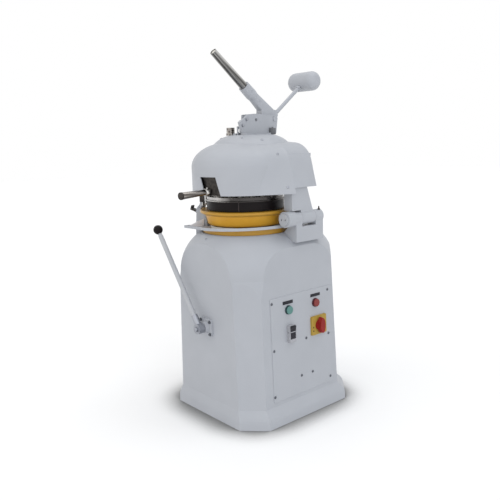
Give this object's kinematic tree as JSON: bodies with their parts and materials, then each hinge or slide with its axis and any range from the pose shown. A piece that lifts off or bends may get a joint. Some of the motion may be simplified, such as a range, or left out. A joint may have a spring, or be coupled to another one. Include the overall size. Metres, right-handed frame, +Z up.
{
  "type": "dough divider rounder",
  "caption": "Floor-standing dough divider rounder: tapered cabinet, orbiting round table, hinged domed head with press lever, counterweight, dividing knife and control panel.",
  "frame": {"origin": "on the floor, in the middle of the plinth's underside", "axes": "+Z up, -Y to the front (rounding lever), +X to the operator's right (control panel)"},
  "size_m": [0.608, 0.7828, 1.5451],
  "materials": {
    "white_paint": "satin powder coat",
    "polished_steel": "polished",
    "bright_steel": "ground steel",
    "dark_steel": "blackened steel",
    "yellow_plastic": "moulded, shiny",
    "switch_yellow": "moulded",
    "black_gloss": "shiny black",
    "black_plastic": "moulded, satin",
    "grey_plastic": "moulded",
    "pale_plastic": "moulded",
    "natural_plastic": "food grade",
    "red_plastic": "moulded",
    "green_plastic": "moulded",
    "belt_rubber": "ribbed cloth and rubber",
    "cast_iron": "as cast",
    "aluminium": "as cast",
    "bronze": "turned"
  },
  "bodies": {
    "frame": {"plinth": "white_paint", "cabinet_shell": "white_paint", "deck_ring": "yellow_plastic", "flour_pan": "white_paint", "bearing_housing": "cast_iron", "main_bearings": "bright_steel", "motor_housing": "aluminium", "motor_mount": "white_paint", "drive_belt": "belt_rubber", "control_box": "grey_plastic", "cable_gland": "black_plastic", "control_panel": "white_paint", "panel_screws": "bright_steel", "button_bezels": "black_plastic", "rocker_frame": "pale_plastic", "switch_escutcheon": "switch_yellow", "hinge_block": "white_paint", "hinge_pin": "white_paint", "latch_post": "white_paint", "lever_bracket": "white_paint"},
    "head": {"head_casting": "white_paint", "front_cover": "white_paint", "head_crown": "white_paint", "cover_screws": "bright_steel", "lever_yoke": "white_paint", "ram_bush": "bronze", "oil_filler_cap": "grey_plastic", "rest_leg": "white_paint"},
    "press_lever": {"lever_socket": "white_paint", "lever_tube": "polished_steel", "counterweight_rod": "bright_steel", "counterweight": "white_paint", "lever_pins": "bright_steel"},
    "ram": {"ram_shaft": "bright_steel", "press_plate": "bright_steel", "press_blocks": "natural_plastic"},
    "knife": {"chamber_ring": "black_gloss", "chamber_lip": "polished_steel", "knife_grid": "bright_steel", "knife_carrier": "bright_steel", "cutting_handle": "polished_steel"},
    "crank": {"main_shaft": "bright_steel", "driven_pulley": "cast_iron"},
    "table": {"table_carrier": "aluminium", "table_bowl": "yellow_plastic", "dough_plate": "yellow_plastic"},
    "idler_left": {"idler_crank_left": "bright_steel"},
    "idler_right": {"idler_crank_right": "bright_steel"},
    "rotor": {"motor_shaft": "bright_steel", "motor_pulley": "cast_iron"},
    "rounding_lever": {"rounding_rod": "bright_steel", "rounding_knob": "black_gloss", "rounding_hub": "bright_steel", "rounding_shaft": "bright_steel"},
    "latch": {"latch_clip": "dark_steel"},
    "start": {"start_button": "green_plastic"},
    "stop": {"stop_button": "red_plastic"},
    "rocker": {"rocker_switch": "black_plastic"},
    "main_switch": {"main_switch_knob": "red_plastic"}
  },
  "joints": [
    {"name": "head_tilt", "type": "hinge", "parent": "frame", "child": "head", "pos_m": [0.246, 0.042, 0.852], "axis": [0, 1, 0], "range_deg": [0, 60]},
    {"name": "press_lever_swing", "type": "hinge", "parent": "head", "child": "press_lever", "pos_m": [0, 0.084, 1.268], "axis": [-1, 0, 0], "range_deg": [0, 33]},
    {"name": "ram_slide", "type": "slide", "parent": "head", "child": "ram", "axis": [0, 0, 1], "range_m": [0, 0.0955]},
    {"name": "knife_slide", "type": "slide", "parent": "head", "child": "knife", "axis": [0, 0, 1], "range_m": [0, 0.024]},
    {"name": "latch_swing", "type": "hinge", "parent": "frame", "child": "latch", "pos_m": [-0.22901, -0.16853, 0.866], "axis": [-0.3746, 0.9272, 0], "range_deg": [0, 70]},
    {"name": "crank_turn", "type": "hinge", "parent": "frame", "child": "crank", "pos_m": [0, -0.076, 0.64], "axis": [0, 0, 1], "continuous": true},
    {"name": "table_orbit", "type": "hinge", "parent": "crank", "child": "table", "pos_m": [-0.00848, -0.06752, 0.81], "axis": [0, 0, 1], "continuous": true},
    {"name": "idler_left_turn", "type": "hinge", "parent": "frame", "child": "idler_left", "pos_m": [-0.105, -0.076, 0.74], "axis": [0, 0, 1], "continuous": true},
    {"name": "idler_right_turn", "type": "hinge", "parent": "frame", "child": "idler_right", "pos_m": [0.105, -0.076, 0.74], "axis": [0, 0, 1], "continuous": true},
    {"name": "motor_turn", "type": "hinge", "parent": "frame", "child": "rotor", "pos_m": [0, 0.15, 0.42], "axis": [0, 0, 1], "continuous": true},
    {"name": "rounding_lever_swing", "type": "hinge", "parent": "frame", "child": "rounding_lever", "pos_m": [0.005, -0.354, 0.4], "axis": [0, 1, 0], "range_deg": [0, 52]},
    {"name": "start_press", "type": "slide", "parent": "frame", "child": "start", "axis": [-0.9994, 0, -0.0341], "range_m": [0, 0.004], "stiffness_N_per_m": 500, "springref_m": -0.002},
    {"name": "stop_press", "type": "slide", "parent": "frame", "child": "stop", "axis": [-0.9994, 0, -0.0341], "range_m": [0, 0.004], "stiffness_N_per_m": 500, "springref_m": -0.002},
    {"name": "rocker_tip", "type": "hinge", "parent": "frame", "child": "rocker", "pos_m": [0.28166, -0.082, 0.38344], "axis": [0, -1, 0], "range_deg": [0, 12]},
    {"name": "main_switch_turn", "type": "hinge", "parent": "frame", "child": "main_switch", "pos_m": [0.27987, 0.089, 0.37738], "axis": [0.9994, 0, 0.0341], "range_deg": [0, 90]}
  ],
  "couplings": [
    {"joint": "ram_slide", "follows": "press_lever_swing", "m_per_rad": 0.16494},
    {"joint": "table_orbit", "follows": "crank_turn", "ratio": -1},
    {"joint": "idler_left_turn", "follows": "crank_turn", "ratio": 1},
    {"joint": "idler_right_turn", "follows": "crank_turn", "ratio": 1},
    {"joint": "motor_turn", "follows": "crank_turn", "ratio": 2.6842}
  ]
}
